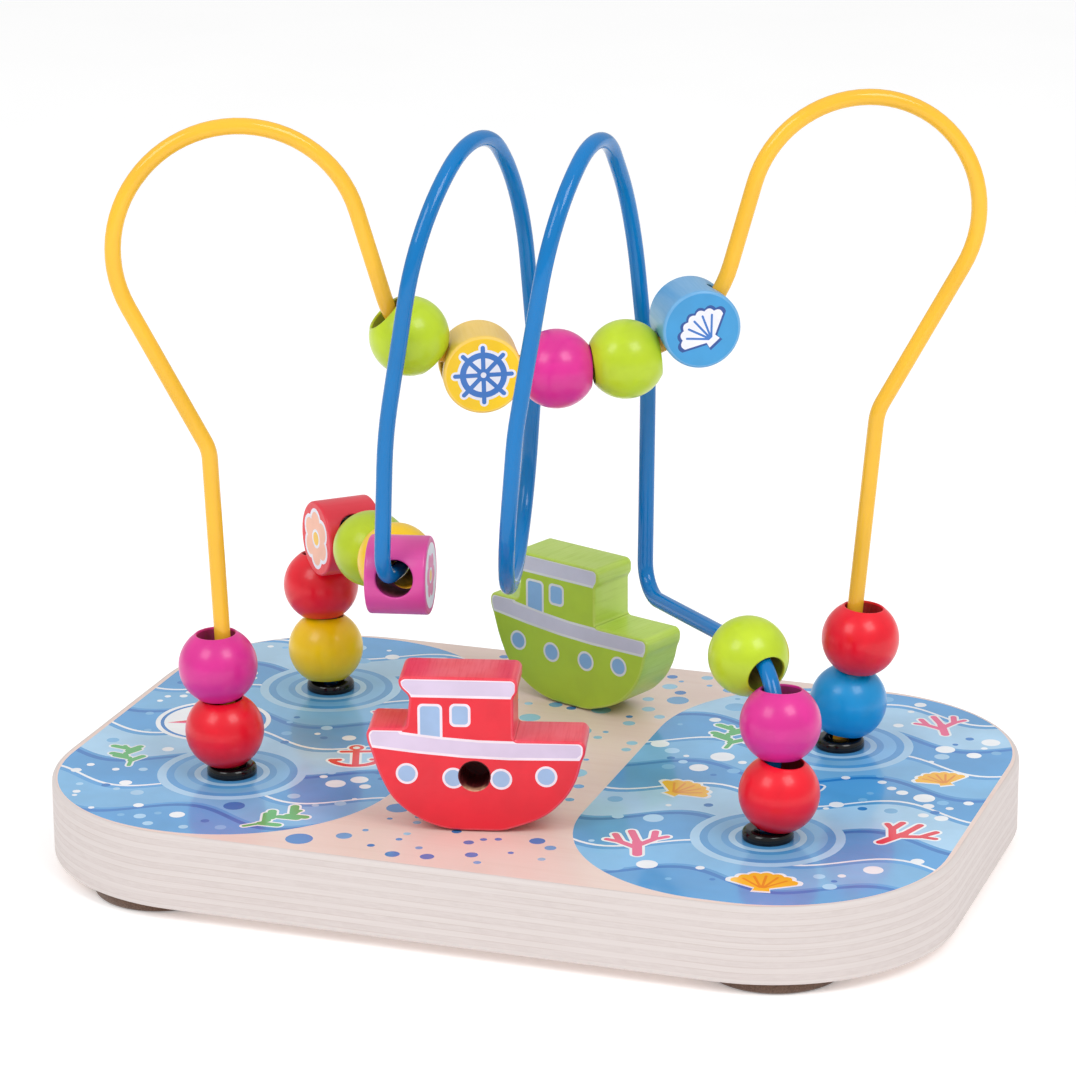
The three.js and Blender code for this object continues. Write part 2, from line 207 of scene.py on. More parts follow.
def bead_lacquer(name, rgb, seed):
    """Satin lacquer on turned wood: grain runs along the bore, and the paint thins at the rims of the bore."""
    t = Tree(name, seed)
    tone = t.noise(0.1, detail=2)
    grain = t.noise(0.55, (1.0, 1.0, 0.12), detail=3, rough=0.55)
    colour = t.mix(t.remap(tone, 0.3, 0.7), lin(shade(rgb, 0.965)), lin(shade(rgb, 1.02)))
    colour = t.mix(t.remap(grain, 0.5, 0.78, 0.0, 0.07), colour, lin(shade(rgb, 0.74)))
    axes = t.xyz(t.pos)
    radial = t.math("SQRT", t.math("ADD", t.math("MULTIPLY", axes[0], axes[0]), t.math("MULTIPLY", axes[1], axes[1])))
    worn = t.math("MULTIPLY", t.remap(radial, 5.95, 5.5), t.remap(t.noise(0.55, detail=4), 0.45, 0.65, 0.0, 0.6))
    colour = t.mix(worn, colour, lin(tuple(0.45 * a + 0.55 * b for a, b in zip(rgb, (176, 128, 88)))))
    rough = t.remap(t.noise(0.5, detail=4), 0.3, 0.7, 0.285, 0.355)
    n = t.bump(t.noise(0.14, (1.0, 1.0, 0.5), detail=1), 0.05, 0.5)
    return t.finish(colour, rough, n, coat=0.2, coat_rough=0.14, spec=0.38)


def bore_wood(name, rgb, seed, along=2):
    """Drilled wood with overspray of the outside colour, thicker towards the mouths; the stained wood and the overspray
    are both darkened copies of the paint, painted shade inside the bore.
    """
    t = Tree(name, seed)
    stretch = [1.0, 1.0, 1.0]
    stretch[along] = 0.12
    fibres = t.noise(1.4, tuple(stretch), detail=5, rough=0.65)
    # the stain is a darker copy of the outside colour: bare wood plus painted shade inside the bore
    stain_with_shade = shade(rgb, 0.62)
    dark = tuple(0.6 * a + 0.4 * b for a, b in zip(stain_with_shade, (112, 74, 44)))
    pale = tuple(0.45 * a + 0.55 * b for a, b in zip(stain_with_shade, (178, 130, 88)))
    wood = t.mix(t.remap(fibres, 0.3, 0.7), lin(dark), lin(pale))
    depth = t.math("ABSOLUTE", t.xyz(t.pos)[along])
    spray = t.math("MULTIPLY", t.remap(depth, 3.0, 8.5), t.remap(t.noise(0.9, detail=4), 0.3, 0.62, 0.45, 1.0))
    # overspray at 0.72 of the outside colour: painted shade inside the bore
    colour = t.mix(spray, wood, lin(shade(rgb, 0.72)))
    return t.finish(colour, t.remap(fibres, 0.3, 0.7, 0.55, 0.75), t.bump(fibres, 0.1, 0.8))


def boat_bore(name, rgb, seed):
    """Drilled blind hole in the hull: the very dark red inside is painted shade, and the paler lower lip by the mouth
    is painted light falling into the hole.
    """
    t = Tree(name, seed)
    fibres = t.noise(1.3, (1.0, 0.15, 1.0), detail=5, rough=0.65)
    # very dark red over the whole inside of the hole: painted shade
    colour = t.mix(t.remap(fibres, 0.3, 0.7), lin((62, 6, 12)), lin((108, 18, 22)))
    place = t.xyz(t.pos)
    # pale wood colour at the lower lip by the mouth: painted light falling into the hole
    lip = t.math("MULTIPLY", t.remap(t.math("ABSOLUTE", place[1]), 5.0, 7.4), t.remap(place[2], 13.4, 11.9))
    painted_lit_lip = t.math("MULTIPLY", lip, t.remap(t.noise(0.8, detail=4), 0.3, 0.6, 0.55, 1.0))
    colour = t.mix(painted_lit_lip, colour, lin((206, 150, 118)))
    return t.finish(colour, t.remap(fibres, 0.3, 0.7, 0.5, 0.7), t.bump(fibres, 0.1, 0.8))


def edge_lacquer(name, rgb, seed, across=1, pale=0.12, line=0.16):
    """Lacquer over sawn end grain: fine lines run across the thickness, and the colour is paled toward white as painted
    sheen on the sides and tops.
    """
    t = Tree(name, seed)
    stretch = [1.0, 1.0, 1.0]
    stretch[across] = 0.05
    lines = t.noise(1.5, tuple(stretch), detail=4, rough=0.65)
    tone = t.noise(0.1, detail=3)
    # pale lifts the colour toward white: painted sheen on the rounded sides and tops
    sheen_paled = tuple(c + (255 - c) * pale for c in rgb)
    colour = t.mix(t.remap(tone, 0.3, 0.7), lin(tuple(0.4 * a + 0.6 * b for a, b in zip(rgb, sheen_paled))), lin(sheen_paled))
    colour = t.mix(t.remap(lines, 0.48, 0.75, 0.0, line), colour, lin(shade(rgb, 0.84)))
    n = t.bump(lines, 0.02, 0.7)
    return t.finish(colour, t.remap(lines, 0.3, 0.7, 0.3, 0.42), n, coat=0.2, coat_rough=0.2)


def face_paint(name, rgb, seed, grain=(0.07, 1, 1), low=0.36, high=0.48):
    """Smooth sprayed or screen-printed colour on a flat sanded face, with the wood just telling through."""
    t = Tree(name, seed)
    tone = t.noise(0.08, detail=3)
    fibres = t.noise(1.1, grain, detail=4, rough=0.6)
    colour = t.mix(t.remap(tone, 0.3, 0.7), lin(shade(rgb, 0.975)), lin(shade(rgb, 1.02)))
    colour = t.mix(t.remap(fibres, 0.55, 0.8, 0.0, 0.08), colour, lin(shade(rgb, 0.84)))
    n = t.bump(fibres, 0.012, 0.6)
    return t.finish(colour, t.remap(t.noise(0.6, detail=4), 0.3, 0.7, low, high), n, coat=0.15, coat_rough=0.2)


def panel_ink(name, rgb, seed):
    """Printed sheet under a clear gloss: nearly even colour, fine scuffs in the gloss."""
    t = Tree(name, seed)
    tone = t.noise(0.05, detail=3)
    colour = t.mix(t.remap(tone, 0.3, 0.7), lin(shade(rgb, 0.965)), lin(shade(rgb, 1.03)))
    speck = t.noise(3.0, detail=2)
    colour = t.mix(t.remap(speck, 0.6, 0.8, 0.0, 0.05), colour, lin(shade(rgb, 0.8)))
    scuff = t.noise(0.4, (0.15, 1.2, 1), detail=5, rough=0.7)
    n = t.bump(t.noise(0.25, (0.3, 1, 1), detail=2), 0.02, 0.5)
    return t.finish(colour, t.remap(scuff, 0.35, 0.75, 0.13, 0.24), n, coat=0.35, coat_rough=0.06)


def wood_tree(name, seed):
    """Pale veneer with long grain along x and faint pores."""
    t = Tree(name, seed)
    warp = t.noise(0.03, (0.5, 1, 1), detail=2)
    rings = t.noise(0.3, (0.045, 1.0, 1.0), detail=5, rough=0.6)
    pores = t.noise(2.4, (0.05, 1.0, 1.0), detail=3, rough=0.6)
    colour = t.mix(t.remap(warp, 0.3, 0.7), lin((236, 215, 206)), lin((232, 208, 198)))
    colour = t.mix(t.remap(rings, 0.45, 0.75, 0.0, 0.38), colour, lin((224, 197, 185)))
    colour = t.mix(t.remap(pores, 0.58, 0.78, 0.0, 0.18), colour, lin((212, 176, 158)))
    return t, colour, rings, pores


def veneer(name, seed):
    t, colour, rings, pores = wood_tree(name, seed)
    n = t.bump(pores, 0.03, 0.6)
    return t.finish(colour, t.remap(rings, 0.3, 0.7, 0.3, 0.42), n, coat=0.2, coat_rough=0.16)


def ply_side(name, seed):
    """Sawn and sanded plywood edge: stacked veneers, every other one showing end grain, with thin glue lines."""
    t = Tree(name, seed)
    z = t.xyz(t.pos)[2]
    waver = t.math("MULTIPLY", t.math("SUBTRACT", t.noise(0.02, (1, 1, 0.2), detail=2), 0.5), 0.4)
    layer = t.math("DIVIDE", t.math("ADD", t.math("SUBTRACT", z, 3.0), waver), 1.7)
    phase = t.math("FRACT", layer)
    odd = t.math("GREATER_THAN", t.math("FRACT", t.math("MULTIPLY", layer, 0.5)), 0.5)
    long_grain = t.noise(0.6, (0.06, 0.06, 2.4), detail=4, rough=0.6)
    end_grain = t.noise(1.2, (0.25, 0.25, 1.6), detail=3, rough=0.6)
    pale = t.mix(t.remap(long_grain, 0.3, 0.75), lin((218, 209, 206)), lin((213, 203, 200)))
    dull = t.mix(t.remap(end_grain, 0.3, 0.75), lin((214, 204, 201)), lin((208, 197, 194)))
    colour = t.mix(odd, pale, dull)
    near = t.math("MINIMUM", phase, t.math("SUBTRACT", 1.0, phase))
    glue = t.math("MULTIPLY", t.remap(near, 0.11, 0.03), t.remap(t.noise(0.12, (0.3, 0.3, 2), detail=3), 0.35, 0.65, 0.12, 0.45))
    colour = t.mix(glue, colour, lin((190, 173, 166)))
    streak = t.noise(0.5, (0.04, 0.04, 5.0), detail=3, rough=0.6)
    colour = t.mix(t.remap(streak, 0.52, 0.72, 0.0, 0.22), colour, lin((204, 190, 186)))
    height = t.math("SUBTRACT", t.math("MULTIPLY", t.mix(odd, long_grain, end_grain), 0.4), t.math("MULTIPLY", glue, 0.5))
    return t.finish(colour, t.remap(end_grain, 0.3, 0.7, 0.54, 0.66), t.bump(height, 0.04, 0.6))


def wire_paint(name, rgb, seed):
    """Glossy plastic-like coating on steel rod: faint sags, tiny dust specks and slight rub marks."""
    t = Tree(name, seed)
    tone = t.noise(0.03, detail=2)
    colour = t.mix(t.remap(tone, 0.3, 0.7), lin(shade(rgb, 0.97)), lin(shade(rgb, 1.02)))
    speck = t.noise(1.6, detail=2)
    colour = t.mix(t.remap(speck, 0.7, 0.82, 0.0, 0.1), colour, lin(shade(rgb, 0.7)))
    sag = t.noise(0.16, detail=2)
    n = t.bump(sag, 0.03, 0.5)
    return t.finish(colour, t.remap(t.noise(0.3, detail=3), 0.3, 0.7, 0.08, 0.13), n, spec=0.38)


def black_gloss(name):
    t = Tree(name, 2.0)
    fine = t.noise(1.5, detail=4, rough=0.6)
    colour = t.mix(t.remap(fine, 0.35, 0.7), lin((4, 4, 6)), lin((12, 12, 15)))
    return t.finish(colour, t.remap(t.noise(0.6, detail=5), 0.3, 0.7, 0.08, 0.15), t.bump(fine, 0.008, 0.4), spec=0.4)


def felt(name):
    t = Tree(name, 5.0)
    fibres = t.noise(2.2, detail=6, rough=0.75)
    cloud = t.noise(0.2, detail=3)
    colour = t.mix(t.remap(fibres, 0.3, 0.7), lin((72, 52, 42)), lin((132, 102, 84)))
    colour = t.mix(t.remap(cloud, 0.35, 0.7, 0.0, 0.4), colour, lin((92, 68, 55)))
    t.bsdf.inputs["Sheen Weight"].default_value = 0.3
    return t.finish(colour, t.remap(fibres, 0.3, 0.7, 0.85, 0.95), t.bump(fibres, 0.25, 0.9))


def zinc(name):
    t = Tree(name, 9.0)
    spangle = t.noise(0.8, detail=4)
    turned = t.noise(3.0, (1, 1, 6), detail=3)
    colour = t.mix(t.remap(spangle, 0.3, 0.7), lin((168, 170, 176)), lin((208, 208, 205)))
    return t.finish(colour, t.remap(turned, 0.3, 0.7, 0.26, 0.42), t.bump(turned, 0.02, 0.6), metallic=1.0)


# ---------------------------------------------------------------- mesh helpers
def make(name, verts, faces, mats, index=None, flat=None, weld=0.0):
    """Mesh piece from millimetre corners. index gives each face's material, flat the faces that stay faceted."""
    bm = bmesh.new()
    made = [bm.verts.new((x * MM, y * MM, z * MM)) for x, y, z in verts]
    for i, f in enumerate(faces):
        if len(set(f)) < 3:
            continue
        try:
            face = bm.faces.new([made[k] for k in f])
        except ValueError:
            continue
        face.material_index = index[i] if index else 0
        face.smooth = not (flat and flat[i])
    if weld:
        bmesh.ops.remove_doubles(bm, verts=bm.verts, dist=weld * MM)
    bmesh.ops.recalc_face_normals(bm, faces=bm.faces)
    mesh = bpy.data.meshes.new(name)
    bm.to_mesh(mesh)
    bm.free()
    for m in mats:
        mesh.materials.append(m)
    o = bpy.data.objects.new(name, mesh)
    bpy.context.scene.collection.objects.link(o)
    return o


def stand_in(o, node, matrix=None):
    if matrix is not None:
        o.matrix_world = matrix
    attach(o, BODY_OF[node])
    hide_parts(node)
    return o


def lathe(profile, segments, closed=True):
    """Rings about z from a profile of (radius, height); a closed profile makes a ring with a bore."""
    verts, faces = [], []
    for r, z in profile:
        for k in range(segments):
            a = 2 * math.pi * k / segments
            verts.append((r * math.cos(a), r * math.sin(a), z))
    n = len(profile)
    for i in range(n if closed else n - 1):
        j = (i + 1) % n
        for k in range(segments):
            m = (k + 1) % segments
            faces.append((i * segments + k, i * segments + m, j * segments + m, j * segments + k))
    return verts, faces


def circle(cx, cy, r, n=28):
    return [(cx + r * math.cos(2 * math.pi * k / n), cy + r * math.sin(2 * math.pi * k / n)) for k in range(n)]


def capsule(p, q, r, n=8):
    a = math.atan2(q[1] - p[1], q[0] - p[0])
    out = [(q[0] + r * math.cos(a - math.pi / 2 + math.pi * k / n), q[1] + r * math.sin(a - math.pi / 2 + math.pi * k / n)) for k in range(n + 1)]
    return out + [(p[0] + r * math.cos(a + math.pi / 2 + math.pi * k / n), p[1] + r * math.sin(a + math.pi / 2 + math.pi * k / n)) for k in range(n + 1)]


def rounded(x0, y0, x1, y1, r, n=12):
    out = []
    for cx, cy, a in ((x1 - r, y0 + r, -90), (x1 - r, y1 - r, 0), (x0 + r, y1 - r, 90), (x0 + r, y0 + r, 180)):
        out += [(cx + r * math.cos(math.radians(a + 90 * k / n)), cy + r * math.sin(math.radians(a + 90 * k / n))) for k in range(n + 1)]
    return out


def spin(poly, cx, cy, degrees, size=1.0):
    c, s = math.cos(math.radians(degrees)) * size, math.sin(math.radians(degrees)) * size
    return [(cx + x * c - y * s, cy + x * s + y * c) for x, y in poly]


def area(poly):
    return sum(p[0] * q[1] - q[0] * p[1] for p, q in zip(poly, poly[1:] + poly[:1])) / 2


def left_turning(poly):
    return poly if area(poly) > 0 else poly[::-1]


def painted(outline, holes, layers):
    """Splits a flat outline along every shape laid on it. layers holds (shape, colour, within), later ones on top;
    within names a shape by number that the colour keeps inside. Gives corners, triangles and each one's colour."""
    shapes = [left_turning(outline)] + [left_turning(h) for h in holes] + [left_turning(s[0]) for s in layers]
    pts, loops = [], []
    for s in shapes:
        loops.append(list(range(len(pts), len(pts) + len(s))))
        pts += [Vector(p) for p in s]
    co, _, tris, _, _, origin = delaunay_2d_cdt(pts, [], loops, 1, 1e-5, True)
    first = 1 + len(holes)
    keep, colours = [], []
    for t, ids in zip(tris, origin):
        ids = set(ids)
        if 0 not in ids or any(1 + h in ids for h in range(len(holes))):
            continue
        c = 0
        for i in range(len(layers) - 1, -1, -1):
            within = layers[i][2]
            if first + i in ids and (within is None or first + within in ids):
                c = layers[i][1]
                break
        keep.append(tuple(t))
        colours.append(c)
    return [(p[0], p[1]) for p in co], keep, colours


def rims(tris):
    """The open edges of a triangulated face as ordered loops, with the face on the left."""
    edges = {(t[i], t[(i + 1) % 3]) for t in tris for i in range(3)}
    after = {a: b for a, b in edges if (b, a) not in edges}
    loops = []
    while after:
        a, b = next(iter(sorted(after.items())))
        loop = []
        while a in after:
            loop.append(a)
            a = after.pop(a)
        loops.append(loop)
    return loops


def away(loop, co):
    """Unit directions pointing out of the face at each corner of a rim."""
    out = []
    n = len(loop)
    for i in range(n):
        p, q, r = (Vector(co[loop[(i + k) % n]]) for k in (-1, 0, 1))
        a, b = (q - p).normalized(), (r - q).normalized()
        d = Vector((a.y + b.y, -a.x - b.x))
        d.normalize()
        out.append(d / max(0.6, d.dot(Vector((a.y, -a.x)))))
    return out


def smooth_outline(points, sharp=1.3):
    """Rounds the corners of an outline: gentle turns become one flowing curve, tight ones keep a small radius."""
    n = len(points)
    out = []
    for i in range(n):
        p, q, r = (Vector(points[(i + k) % n]) for k in (-1, 0, 1))
        a, b = p - q, r - q
        turn = math.pi - a.angle(b)
        reach = 0.48 * min(a.length, b.length)
        if turn > math.radians(35):
            reach = min(reach, sharp)
        s, e = q + a.normalized() * reach, q + b.normalized() * reach
        steps = 6 if turn > math.radians(12) else 3
        for k in range(steps + 1):
            t = k / steps
            v = s * (1 - t) ** 2 + q * 2 * t * (1 - t) + e * t * t
            out.append((v.x, v.y))
    clean = [out[0]]
    for p in out[1:]:
        if (Vector(p) - Vector(clean[-1])).length > 0.05:
            clean.append(p)
    if (Vector(clean[0]) - Vector(clean[-1])).length < 0.05:
        clean.pop()
    return left_turning(clean)


def inset(poly, d):
    n = len(poly)
    dirs = away(list(range(n)), poly)
    return [(p[0] - d * v.x, p[1] - d * v.y) for p, v in zip(poly, dirs)]


# ---------------------------------------------------------------- wires
def bent(bends, step=4.0):
    """Centre line of a rod with round bends, sampled evenly enough to look smooth."""
    p = [Vector(b[:3]) for b in bends]
    out = [p[0].copy()]

    def reach_to(point):
        gap = (point - out[-1]).length
        if gap < 0.8:
            return
        start = out[-1].copy()
        for k in range(1, int(gap // step) + 1):
            if gap - k * step > 1.0:
                out.append(start.lerp(point, k * step / gap))
        out.append(point)

    for i in range(1, len(p) - 1):
        a, b = (p[i - 1] - p[i]).normalized(), (p[i + 1] - p[i]).normalized()
        turn = math.pi - a.angle(b)
        r = bends[i][3]
        middle = p[i] + (a + b).normalized() * (r / math.cos(turn / 2))
        v = (p[i] + a * (r * math.tan(turn / 2)) - middle).normalized()
        w = -a
        steps = max(4, math.ceil(turn / math.radians(5)))
        for k in range(steps + 1):
            q = turn * k / steps
            reach_to(middle + v * (r * math.cos(q)) + w * (r * math.sin(q)))
    reach_to(p[-1].copy())
    return out


def rod(name, bends, radius, mat, sides=24):
    line = bent(bends)
    tangents = []
    for i in range(len(line)):
        d = Vector()
        if i:
            d += (line[i] - line[i - 1]).normalized()
        if i < len(line) - 1:
            d += (line[i + 1] - line[i]).normalized()
        tangents.append(d.normalized())
    side = Vector((0, 1, 0)) if abs(tangents[0].y) < 0.8 else Vector((1, 0, 0))
    side = (side - tangents[0] * side.dot(tangents[0])).normalized()
    rings = []
    for i, (c, t) in enumerate(zip(line, tangents)):
        if i:
            side = tangents[i - 1].rotation_difference(t) @ side
            side = (side - t * side.dot(t)).normalized()
        rings.append((c, t, side.copy()))
    verts, faces = [], []

    def ring(c, t, s, r):
        u = t.cross(s)
        for k in range(sides):
            a = 2 * math.pi * k / sides
            verts.append(c + s * (r * math.cos(a)) + u * (r * math.sin(a)))

    c0, t0, s0 = rings[0]
    cn, tn, sn = rings[-1]
    ring(c0, t0, s0, radius * 0.75)
    for k, (c, t, s) in enumerate(rings):
        ring(c + (t * 0.5 if k == 0 else -t * 0.5 if k == len(rings) - 1 else Vector()), t, s, radius)
    ring(cn, tn, sn, radius * 0.75)
    count = len(rings) + 2
    for i in range(count - 1):
        for k in range(sides):
            m = (k + 1) % sides
            faces.append((i * sides + k, i * sides + m, (i + 1) * sides + m, (i + 1) * sides + k))
    faces.append(tuple(range(sides))[::-1])
    faces.append(tuple((count - 1) * sides + k for k in range(sides)))
    return make(name, verts, faces, [mat])


DIAGONAL = math.atan2(POST_Y, POST_X)
yellow_3d = [(s * math.cos(DIAGONAL), s * math.sin(DIAGONAL), z, r) for s, z, r in YELLOW_BENDS]
stand_in(rod("bent_wire_yellow", yellow_3d, WIRE_R, wire_paint("wire_coat_yellow", (246, 189, 54), 1.0)), "wire_yellow")
stand_in(rod("bent_wire_blue", BLUE_BENDS, WIRE_R, wire_paint("wire_coat_blue", (0, 117, 187), 3.0)), "wire_blue")

# ---------------------------------------------------------------- grommets and feet
grommet_mat = black_gloss("grommet_black")
grommet_profile = [(2.85, 0), (6.7, 0.0), (6.95, 0.15), (7.0, 0.5)]
grommet_profile += [(5.4 + 1.6 * math.cos(math.radians(a)), 1.35 + 1.65 * math.sin(math.radians(a))) for a in range(0, 91, 10)]
grommet_profile += [(3.4, 3.0), (3.05, 2.9), (2.88, 2.65), (2.85, 2.3)]
for tag, sx, sy in (("lf", -1, -1), ("rf", 1, -1), ("lb", -1, 1), ("rb", 1, 1)):
    v, f = lathe(grommet_profile, 56)
    o = make("grommet_ring_" + tag, v, f, [grommet_mat])
    stand_in(o, "grommet_" + tag, Matrix.Translation(Vector((sx * POST_X, sy * POST_Y, BOARD_TOP)) * MM))

felt_mat = felt("foot_felt")
foot_profile = [(18.2, 0), (18.6, 0.1), (18.9, 0.4), (19, 0.8), (19, 2.4), (18.85, 2.8), (18.5, 3.0)]
for tag, sx, sy in (("lf", -1, -1), ("rf", 1, -1), ("lb", -1, 1), ("rb", 1, 1)):
    profile = [(r, 0) for r in (0.6, 6, 12, 16)] + foot_profile + [(r, 3.0) for r in (16, 12, 6, 0.6)]
    v, f = lathe(profile, 72, closed=False)
    f.append(tuple(range(72))[::-1])
    f.append(tuple((len(profile) - 1) * 72 + k for k in range(72)))
    o = make("felt_pad_" + tag, v, f, [felt_mat])
    stand_in(o, "foot_" + tag, Matrix.Translation(Vector((sx * 88, sy * 64, 0)) * MM))

# ---------------------------------------------------------------- round beads
bead_profile = []
start = math.acos(6.2 / 11)
for k in range(33):
    a = start - 2 * start * k / 32
    bead_profile.append((11 * math.cos(a), 11 * math.sin(a)))
lip = [(5.97, 9.3), (5.76, 9.4), (5.58, 9.36), (5.46, 9.16), (5.4, 8.8)]
bead_profile += [(r, -z) for r, z in lip]
bore_start = len(bead_profile) - 1
bead_profile += [(5.4, z) for z in (-6.5, -3.5, 0, 3.5, 6.5)]
bore_end = len(bead_profile)
bead_profile += lip[::-1]
for number, (node, colour, at, bore) in enumerate(ROUND_BEADS):
    v, f = lathe(bead_profile, 64)
    index = [1 if bore_start <= i // 64 < bore_end else 0 for i in range(len(f))]
    o = make("turned_" + node, v, f, [
        bead_lacquer("lacquer_" + node, PAINT[colour], number * 1.37 + 0.4),
        bore_wood("bore_" + node, PAINT[colour], number * 2.1 + 0.9),
    ], index)
    q = Vector((0, 0, 1)).rotation_difference(Vector(bore).normalized()) @ Quaternion((0, 0, 1), number * 1.9)
    stand_in(o, node, Matrix.Translation(Vector(at) * MM) @ q.to_matrix().to_4x4())


# ---------------------------------------------------------------- printed figures, each a list of (shape, ink name)
def shell(cx, cy, size, turn, body, rib, edge="white"):
    fan = [(-2.6, -6.6), (2.6, -6.6), (2.2, -4.4)]
    for k in range(43):
        a = math.radians(18 + 144 * k / 42)
        r = 10.2 + 0.9 * abs(math.sin(math.pi * 7 * k / 42))
        fan.append((r * math.cos(a), -3.6 + r * math.sin(a)))
    fan.append((-2.2, -4.4))
    big = [(x * 1.15, (y - 0.6) * 1.15 + 0.6) for x, y in fan]
    out = [(spin(big, cx, cy, turn, size), edge), (spin(fan, cx, cy, turn, size), body)]
    for d in (-48, -24, 0, 24, 48):
        a = math.radians(90 + d)
        tip = (8.6 * math.cos(a), -3.6 + 8.6 * math.sin(a))
        out.append((spin(capsule((0.9 * math.cos(a), -3.9), tip, 0.42), cx, cy, turn, size), rib))
    return out


def branches(cx, cy, size, turn, body, edge="white"):
    segs = [((0, -9), (0, 1), 1.5), ((0, -4), (-5, 1), 1.2), ((-5, 1), (-6.5, 7), 1.1), ((0, -2), (5, 3), 1.2), ((5, 3), (5.6, 9), 1.1),
            ((0, 1), (-1.6, 9.5), 1.2), ((-5, 1), (-9, 3), 1.0), ((5, 3), (9, 5), 1.0)]
    out = [(spin(capsule(p, q, r + 0.8), cx, cy, turn, size), edge) for p, q, r in segs]
    return out + [(spin(capsule(p, q, r), cx, cy, turn, size), body) for p, q, r in segs]


def anchor(cx, cy, size, turn, body, edge="white"):
    segs = [((0, -8), (0, 5.4), 1.1), ((-4.4, 4), (4.4, 4), 0.95)]
    arc = [(8 * math.cos(math.radians(a)), -1.2 + 7.4 * math.sin(math.radians(a))) for a in range(198, 343, 16)]
    segs += [(p, q, 1.1) for p, q in zip(arc, arc[1:])]
    segs += [(arc[0], (arc[0][0] + 2.4, arc[0][1] + 0.2), 1.0), (arc[-1], (arc[-1][0] - 2.4, arc[-1][1] + 0.2), 1.0)]
    out = [(spin(capsule(p, q, r + 0.8), cx, cy, turn, size), edge) for p, q, r in segs]
    out.append((spin(circle(0, 7.4, 3.1), cx, cy, turn, size), edge))
    out += [(spin(capsule(p, q, r), cx, cy, turn, size), body) for p, q, r in segs]
    return out + [(spin(circle(0, 7.4, 2.4), cx, cy, turn, size), body), (spin(circle(0, 7.4, 1.15), cx, cy, turn, size), edge)]


def weed(cx, cy, size, turn, body, edge="white"):
    stem = [(0, -10), (1.2, -5), (-0.6, 0), (1.0, 5), (0, 10)]
    segs = [(p, q, 0.75) for p, q in zip(stem, stem[1:])]
    for x, y, s in ((1.2, -5, 1), (-0.6, 0, -1), (1.0, 5, 1), (0.4, -2.4, -1), (0.2, 2.4, 1), (0.4, 7.4, -1)):
        segs.append(((x, y), (x + s * 4.2, y + 3.2), 1.35))
    out = [(spin(capsule(p, q, r + 0.7), cx, cy, turn, size), edge) for p, q, r in segs]
    return out + [(spin(capsule(p, q, r), cx, cy, turn, size), body) for p, q, r in segs]


def rose(cx, cy, size, turn, dark, light, ground="white", rim="deep"):
    out = [(spin(circle(0, 0, 19, 56), cx, cy, turn, size), ground), (spin(circle(0, 0, 17.4, 56), cx, cy, turn, size), rim),
           (spin(circle(0, 0, 16.2, 56), cx, cy, turn, size), ground)]
    for long, width, offset in ((9.5, 3.0, 45), (15.2, 3.9, 0)):
        for k in range(4):
            a = turn + offset + 90 * k
            out.append((spin([(0, 0), (width * 0.72, width * 0.72), (0, long)], cx, cy, a, size), dark))
            out.append((spin([(0, 0), (0, long), (-width * 0.72, width * 0.72)], cx, cy, a, size), light))
    return out + [(spin(circle(0, 0, 2.3), cx, cy, turn, size), "sun"), (spin(circle(0, 0, 1.0), cx, cy, turn, size), ground)]


def wheel(cx, cy, size, turn, body, edge="white"):
    out = [(spin(circle(0, 0, 7.4, 40), cx, cy, turn, size), edge)]
    spokes = [((1.2 * math.cos(math.radians(a)), 1.2 * math.sin(math.radians(a))),
               (7.9 * math.cos(math.radians(a)), 7.9 * math.sin(math.radians(a)))) for a in range(0, 360, 45)]
    out += [(spin(capsule(p, q, 1.25), cx, cy, turn, size), edge) for p, q in spokes]
    out += [(spin(circle(0, 0, 6.6, 40), cx, cy, turn, size), body), (spin(circle(0, 0, 4.9, 40), cx, cy, turn, size), edge)]
    out += [(spin(capsule(p, q, 0.62), cx, cy, turn, size), body) for p, q in spokes]
    return out + [(spin(circle(0, 0, 1.9), cx, cy, turn, size), body), (spin(circle(0, 0, 0.8), cx, cy, turn, size), edge)]


def flower(cx, cy, size, turn, body, middle, edge="white"):
    petals = [spin(circle(4.2, 0, 2.6, 20), 0, 0, a) for a in range(0, 360, 60)]
    out = [(spin(circle(4.2 * math.cos(math.radians(a)), 4.2 * math.sin(math.radians(a)), 3.5, 24), cx, cy, turn, size), edge) for a in range(0, 360, 60)]
    out.append((spin(circle(0, 0, 4.0), cx, cy, turn, size), edge))
    out += [(spin(p, cx, cy, turn, size), body) for p in petals]
    return out + [(spin(circle(0, 0, 2.4), cx, cy, turn, size), edge), (spin(circle(0, 0, 1.7), cx, cy, turn, size), middle)]


# ---------------------------------------------------------------- board
INKS = {
    "sea": (84, 160, 219), "mid": (122, 186, 232), "pale": (168, 211, 241), "deep": (44, 124, 198), "white": (240, 245, 251),
    "sun": (255, 190, 52), "amber": (242, 150, 46), "pink": (240, 96, 146), "coral": (230, 58, 78), "leaf": (92, 184, 108),
    "dot_deep": (66, 132, 200), "dot_mid": (112, 172, 222), "dot_pale": (150, 202, 232),
}
ink_names = list(INKS)
ink_mats = [panel_ink("ink_" + n, INKS[n], i * 1.1 + 0.3) for i, n in enumerate(ink_names)]
board_mats = [veneer("board_veneer", 1.0), ply_side("board_ply_edge", 2.0)] + ink_mats
INK_AT = {n: i + 2 for i, n in enumerate(ink_names)}

